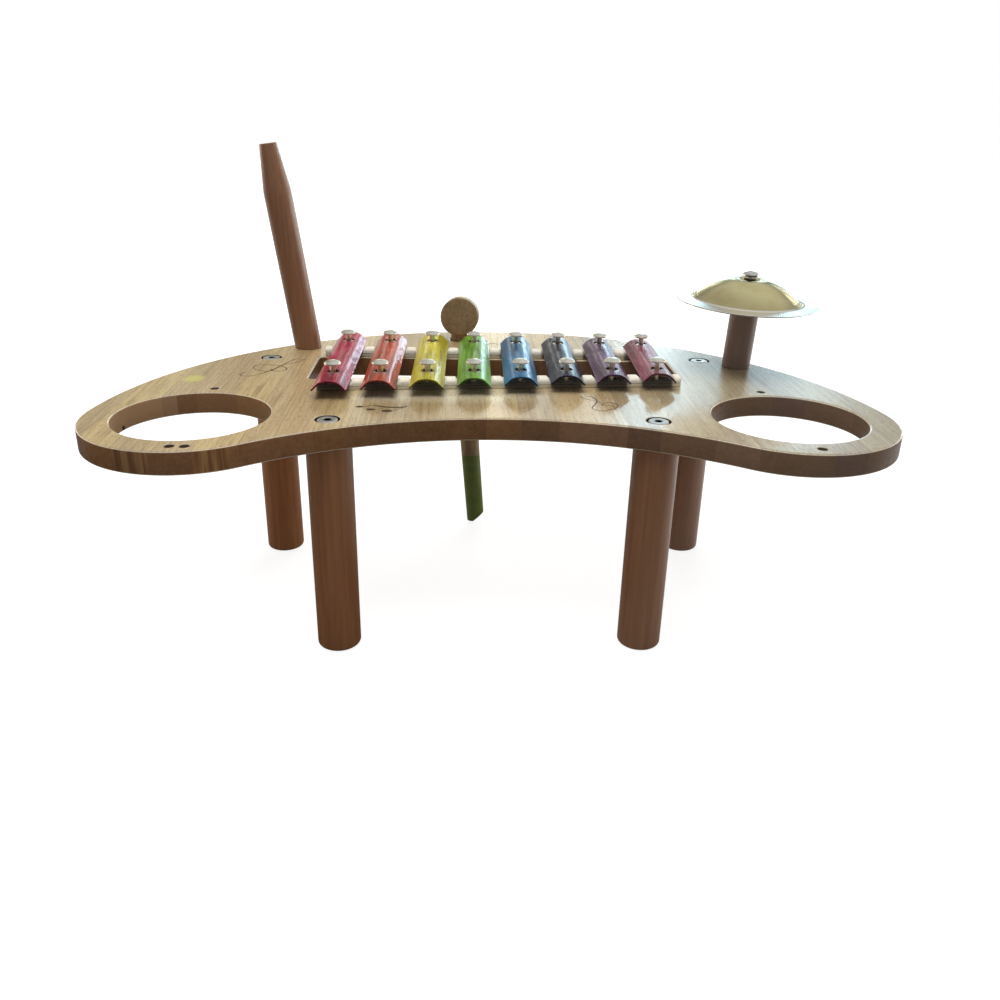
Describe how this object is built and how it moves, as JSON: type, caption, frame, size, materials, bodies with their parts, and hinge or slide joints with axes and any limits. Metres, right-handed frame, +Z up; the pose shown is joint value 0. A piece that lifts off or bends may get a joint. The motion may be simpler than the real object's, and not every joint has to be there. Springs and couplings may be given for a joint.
{
  "type": "toy xylophone playset",
  "caption": "Toy musical table on dowel legs: painted metal bars on felt-topped rails over a sound slot, a cymbal on a post, open drum rings, a leaning post and a mallet in its hole.",
  "frame": {"origin": "on the floor, below the middle of the board", "axes": "+Z up, +X from the long bars towards the short bars and the cymbal, +Y from the child's side towards the back"},
  "size_m": [0.5398, 0.3219, 0.3312],
  "materials": {
    "board_wood": "glossy clear varnish over glued pale wooden staves",
    "dowel_wood": "satin varnish",
    "mallet_wood": "satin brown wood, the lower third of the handle painted green",
    "rail_wood": "plain pale wood",
    "felt": "off-white felt",
    "plated_steel": "bright zinc plating",
    "brass": "spun and polished, with fine turning rings",
    "rubber": "matt black",
    "bar_red": "glossy enamel",
    "bar_orange": "glossy enamel",
    "bar_yellow": "glossy enamel",
    "bar_green": "glossy enamel",
    "bar_blue": "glossy enamel",
    "bar_indigo": "glossy enamel",
    "bar_purple": "glossy enamel",
    "bar_pink": "glossy enamel"
  },
  "bodies": {
    "table": {"table_board": "board_wood", "leg_front_left": "dowel_wood", "leg_front_right": "dowel_wood", "leg_rear_left": "dowel_wood", "leg_rear_right": "dowel_wood", "leg_insert_front_left": "brass", "leg_insert_front_right": "brass", "leg_insert_rear_left": "brass", "leg_insert_rear_right": "brass", "leg_bolt_front_left": "plated_steel", "leg_bolt_front_right": "plated_steel", "leg_bolt_rear_left": "plated_steel", "leg_bolt_rear_right": "plated_steel", "rail_front": "rail_wood", "rail_rear": "rail_wood", "felt_front": "felt", "felt_rear": "felt", "screw_front_1_red": "plated_steel", "screw_rear_1_red": "plated_steel", "screw_front_2_orange": "plated_steel", "screw_rear_2_orange": "plated_steel", "screw_front_3_yellow": "plated_steel", "screw_rear_3_yellow": "plated_steel", "screw_front_4_green": "plated_steel", "screw_rear_4_green": "plated_steel", "screw_front_5_blue": "plated_steel", "screw_rear_5_blue": "plated_steel", "screw_front_6_indigo": "plated_steel", "screw_rear_6_indigo": "plated_steel", "screw_front_7_purple": "plated_steel", "screw_rear_7_purple": "plated_steel", "screw_front_8_pink": "plated_steel", "screw_rear_8_pink": "plated_steel", "tall_post": "dowel_wood", "tall_post_screw": "plated_steel", "cymbal_post": "dowel_wood", "cymbal_post_screw": "plated_steel", "cymbal_top_washer": "rubber", "cymbal_screw": "plated_steel"},
    "bar_1_red": {"bar_1_red": "bar_red"},
    "bar_2_orange": {"bar_2_orange": "bar_orange"},
    "bar_3_yellow": {"bar_3_yellow": "bar_yellow"},
    "bar_4_green": {"bar_4_green": "bar_green"},
    "bar_5_blue": {"bar_5_blue": "bar_blue"},
    "bar_6_indigo": {"bar_6_indigo": "bar_indigo"},
    "bar_7_purple": {"bar_7_purple": "bar_purple"},
    "bar_8_pink": {"bar_8_pink": "bar_pink"},
    "cymbal_seat": {"cymbal_seat_washer": "felt"},
    "cymbal": {"cymbal": "brass"},
    "mallet": {"mallet_handle": "mallet_wood", "mallet_head": "mallet_wood"}
  },
  "joints": [
    {"name": "bar_1_red_lift", "type": "slide", "parent": "table", "child": "bar_1_red", "axis": [0, 0, 1], "range_m": [0, 0.0047]},
    {"name": "bar_2_orange_lift", "type": "slide", "parent": "table", "child": "bar_2_orange", "axis": [0, 0, 1], "range_m": [0, 0.0047]},
    {"name": "bar_3_yellow_lift", "type": "slide", "parent": "table", "child": "bar_3_yellow", "axis": [0, 0, 1], "range_m": [0, 0.0047]},
    {"name": "bar_4_green_lift", "type": "slide", "parent": "table", "child": "bar_4_green", "axis": [0, 0, 1], "range_m": [0, 0.0047]},
    {"name": "bar_5_blue_lift", "type": "slide", "parent": "table", "child": "bar_5_blue", "axis": [0, 0, 1], "range_m": [0, 0.0047]},
    {"name": "bar_6_indigo_lift", "type": "slide", "parent": "table", "child": "bar_6_indigo", "axis": [0, 0, 1], "range_m": [0, 0.0047]},
    {"name": "bar_7_purple_lift", "type": "slide", "parent": "table", "child": "bar_7_purple", "axis": [0, 0, 1], "range_m": [0, 0.0047]},
    {"name": "bar_8_pink_lift", "type": "slide", "parent": "table", "child": "bar_8_pink", "axis": [0, 0, 1], "range_m": [0, 0.0047]},
    {"name": "cymbal_rock", "type": "hinge", "parent": "table", "child": "cymbal_seat", "pos_m": [0.20287, 0.0425, 0.23223], "axis": [0.9996, 0.001, -0.0296], "range_deg": [-3.5, 3.5]},
    {"name": "cymbal_spin", "type": "hinge", "parent": "cymbal_seat", "child": "cymbal", "pos_m": [0.20287, 0.0425, 0.23223], "axis": [0.0297, -0.0349, 0.999], "continuous": true},
    {"name": "mallet_pull_out", "type": "slide", "parent": "table", "child": "mallet", "axis": [-0.0889, 0.1317, 0.9873], "range_m": [0, 0.19]}
  ]
}
